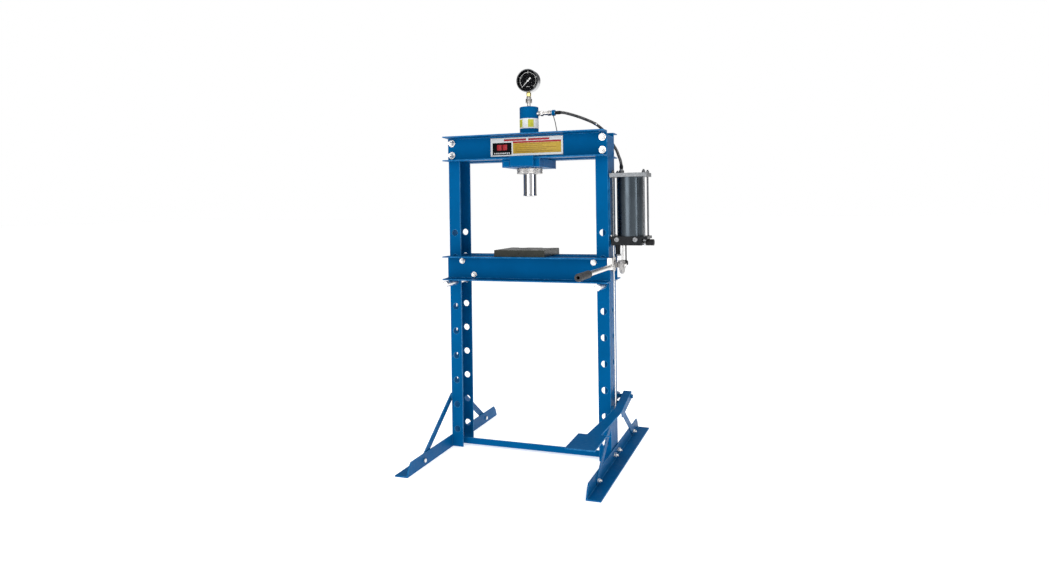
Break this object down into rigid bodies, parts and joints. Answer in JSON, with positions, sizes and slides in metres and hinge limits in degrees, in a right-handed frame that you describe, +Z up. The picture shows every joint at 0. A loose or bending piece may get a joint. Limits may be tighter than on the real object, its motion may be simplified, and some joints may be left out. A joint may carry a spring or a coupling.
{
  "type": "hydraulic shop press",
  "caption": "Freestanding H-frame hydraulic shop press with a pinned bed, a ram under the crown, a pressure gauge, an air-hydraulic pump with a hand lever, and a foot pedal.",
  "frame": {"origin": "the middle of the footprint on the floor; the ram's axis is at X -0.064, Y 0.100", "axes": "+Z up along the posts; the front of the press faces -Y, and the pump is on its +X side"},
  "size_m": [1.008, 1.16, 1.7405],
  "materials": {
    "blue_paint": "semi-gloss",
    "zinc_plated_steel": "satin",
    "chromed_steel": "mirror",
    "stainless_steel": "polished",
    "dark_steel": "oiled",
    "black_paint": "gloss",
    "black_plastic": "matt",
    "grey_casting": "as cast",
    "plate_print": "printed",
    "white_pointer": "matt",
    "brass": "satin",
    "gauge_glass": "clear",
    "hose_rubber": "braided",
    "grip_rubber": "matt"
  },
  "bodies": {
    "frame": {"left_post": "blue_paint", "right_post": "blue_paint", "left_foot": "blue_paint", "right_foot": "blue_paint", "left_front_brace": "blue_paint", "left_rear_brace": "blue_paint", "right_front_brace": "blue_paint", "right_rear_brace": "blue_paint", "cross_bar": "blue_paint", "crown_front_channel": "blue_paint", "crown_rear_channel": "blue_paint", "crown_bolt_1": "zinc_plated_steel", "crown_bolt_2": "zinc_plated_steel", "crown_bolt_3": "zinc_plated_steel", "crown_bolt_4": "zinc_plated_steel", "nameplate": "plate_print", "ram_support_plate": "blue_paint", "ram_cylinder": "blue_paint", "ram_lock_ring": "zinc_plated_steel", "ram_return_spring": "zinc_plated_steel", "ram_port_fitting": "zinc_plated_steel", "gauge_adapter": "zinc_plated_steel", "gauge_stem": "brass", "gauge_case": "stainless_steel", "gauge_bezel": "stainless_steel", "gauge_dial": "black_plastic", "gauge_lens": "gauge_glass", "hose_coupler": "zinc_plated_steel", "hydraulic_hose": "hose_rubber", "pump_hose_fitting": "zinc_plated_steel", "pump_bracket": "blue_paint", "pump_top_plate": "grey_casting", "pump_barrel": "black_paint", "pump_base_block": "black_paint", "pump_tie_rod_1": "zinc_plated_steel", "pump_tie_rod_2": "zinc_plated_steel", "pump_tie_rod_3": "zinc_plated_steel", "pump_tie_rod_4": "zinc_plated_steel", "air_silencer": "black_plastic", "hand_pump_cylinder": "black_paint", "lever_bracket": "zinc_plated_steel", "pedal_bracket": "blue_paint"},
    "ram": {"ram_piston_rod": "chromed_steel"},
    "bed": {"bed_front_channel": "blue_paint", "bed_rear_channel": "blue_paint", "bed_tie_bolt_1": "zinc_plated_steel", "bed_tie_bolt_2": "zinc_plated_steel", "bed_tie_bolt_3": "zinc_plated_steel", "bed_tie_bolt_4": "zinc_plated_steel"},
    "left_plate": {"left_bolster_plate": "dark_steel"},
    "right_plate": {"right_bolster_plate": "dark_steel"},
    "left_pin": {"left_bed_pin": "zinc_plated_steel"},
    "right_pin": {"right_bed_pin": "zinc_plated_steel"},
    "needle": {"gauge_needle": "white_pointer"},
    "lever": {"hand_lever": "zinc_plated_steel", "lever_grip": "grip_rubber"},
    "plunger": {"hand_pump_plunger": "chromed_steel"},
    "release_knob": {"release_valve_knob": "black_plastic"},
    "pedal": {"foot_pedal": "blue_paint"},
    "pull_rod": {"pedal_pull_rod": "zinc_plated_steel"}
  },
  "joints": [
    {"name": "ram_stroke", "type": "slide", "parent": "frame", "child": "ram", "axis": [0, 0, -1], "range_m": [0, 0.15], "stiffness_N_per_m": 700, "springref_m": -0.15, "deforming": ["ram_return_spring"]},
    {"name": "bed_lift", "type": "slide", "parent": "frame", "child": "bed", "axis": [0, 0, 1], "range_m": [0, 0.08]},
    {"name": "left_plate_slide", "type": "slide", "parent": "bed", "child": "left_plate", "axis": [0, 1, 0], "range_m": [-0.05, 0.05]},
    {"name": "right_plate_slide", "type": "slide", "parent": "bed", "child": "right_plate", "axis": [0, 1, 0], "range_m": [-0.05, 0.05]},
    {"name": "left_pin_pull", "type": "slide", "parent": "frame", "child": "left_pin", "axis": [0, -1, 0], "range_m": [0, 0.24]},
    {"name": "right_pin_pull", "type": "slide", "parent": "frame", "child": "right_pin", "axis": [0, -1, 0], "range_m": [0, 0.24]},
    {"name": "gauge_pointer", "type": "hinge", "parent": "frame", "child": "needle", "pos_m": [-0.064, 0.09, 1.688], "axis": [0, 1, 0], "range_deg": [0, 270], "stiffness_Nm_per_rad": 0.002, "springref_deg": -28.65},
    {"name": "lever_pivot", "type": "hinge", "parent": "frame", "child": "lever", "pos_m": [0.349, 0.015, 0.86], "axis": [1, 0, 0], "range_deg": [-25, 15]},
    {"name": "plunger_slide", "type": "slide", "parent": "frame", "child": "plunger", "axis": [0, 0, 1], "range_m": [-0.0215, 0.013]},
    {"name": "release_valve_turn", "type": "hinge", "parent": "frame", "child": "release_knob", "pos_m": [0.383, 0.07, 0.866], "axis": [0, 0, 1], "range_deg": [0, 270]},
    {"name": "pedal_pivot", "type": "hinge", "parent": "frame", "child": "pedal", "pos_m": [0.356, 0.175, 0.262], "axis": [1, 0, 0], "range_deg": [0, 6], "stiffness_Nm_per_rad": 60, "springref_deg": -8.59},
    {"name": "pull_rod_slide", "type": "slide", "parent": "frame", "child": "pull_rod", "axis": [0, 0, -1], "range_m": [0, 0.013]}
  ],
  "couplings": [
    {"joint": "plunger_slide", "follows": "lever_pivot", "m_per_rad": 0.0485},
    {"joint": "pull_rod_slide", "follows": "pedal_pivot", "m_per_rad": 0.12}
  ]
}
